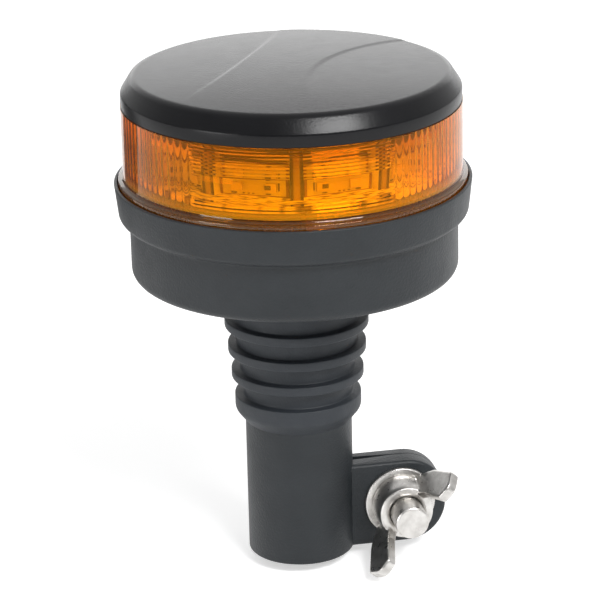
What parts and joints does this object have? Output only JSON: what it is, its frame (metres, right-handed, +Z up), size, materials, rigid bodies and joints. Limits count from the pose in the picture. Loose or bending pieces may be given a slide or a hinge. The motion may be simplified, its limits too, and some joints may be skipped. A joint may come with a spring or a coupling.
{
  "type": "warning light",
  "caption": "Amber LED warning beacon with a black cap and base on a ribbed flexible neck, clamped to an upright pole by a split socket with a wing nut.",
  "frame": {"origin": "on the pole's axis, in the plane of the pole socket's mouth", "axes": "+Z up along the pole and the lamp, +X along the clamp ears, -Y the side of the wing nut"},
  "size_m": [0.1178, 0.1178, 0.1729],
  "materials": {
    "black_plastic": "satin, finely grained",
    "neck_rubber": "matte",
    "zinc_steel": "zinc plated",
    "spring_steel": "plain",
    "contact_brass": "plain",
    "lead_sheath": "matte",
    "board_green": "solder resist",
    "capacitor_can": "plain",
    "inner_plastic": "matte",
    "white_plastic": "matte",
    "led_resin": "clear resin",
    "amber_lens": "clear amber"
  },
  "bodies": {
    "socket": {"clamp_socket": "black_plastic", "clamp_bolt": "zinc_steel", "contact_carrier": "inner_plastic", "plunger_spring": "spring_steel", "neck_lower": "neck_rubber", "cable_lower": "lead_sheath"},
    "washer": {"front_washer": "zinc_steel"},
    "wing_nut": {"wing_nut": "zinc_steel"},
    "plunger": {"contact_plunger": "contact_brass"},
    "neck_mid": {"neck_ring": "neck_rubber"},
    "head": {"neck_upper": "neck_rubber", "cable_upper": "lead_sheath", "neck_screws": "spring_steel", "base_housing": "black_plastic", "base_screws": "spring_steel", "driver_board": "board_green", "board_screws": "spring_steel", "filter_capacitors": "capacitor_can", "power_inductor": "inner_plastic", "driver_chips": "inner_plastic", "wire_connector": "white_plastic", "reflector_deck": "white_plastic", "led_carrier": "inner_plastic", "led_boards": "white_plastic", "led_chips": "led_resin", "lens": "amber_lens", "top_cap": "black_plastic"}
  },
  "joints": [
    {"name": "washer_slide", "type": "slide", "parent": "socket", "child": "washer", "axis": [0, -1, 0], "range_m": [0, 0.006]},
    {"name": "wing_nut_spin", "type": "hinge", "parent": "washer", "child": "wing_nut", "pos_m": [0.0331, -0.0087, 0.0156], "axis": [0, -1, 0], "range_deg": [0, 1440]},
    {"name": "neck_tilt_x", "type": "hinge", "parent": "socket", "child": "neck_mid", "pos_m": [0, 0, 0.07395], "axis": [1, 0, 0], "range_deg": [-20, 20], "stiffness_Nm_per_rad": 5, "deforming": ["neck_lower", "cable_lower"]},
    {"name": "neck_tilt_y", "type": "hinge", "parent": "neck_mid", "child": "head", "pos_m": [0, 0, 0.07395], "axis": [0, 1, 0], "range_deg": [-20, 20], "stiffness_Nm_per_rad": 5, "deforming": ["neck_upper", "cable_upper"]},
    {"name": "plunger_slide", "type": "slide", "parent": "socket", "child": "plunger", "axis": [0, 0, 1], "range_m": [0, 0.0025], "stiffness_N_per_m": 400, "springref_m": -0.0025, "deforming": ["plunger_spring"]}
  ],
  "couplings": [
    {"joint": "wing_nut_spin", "follows": "washer_slide", "rad_per_m": 4188.8}
  ]
}
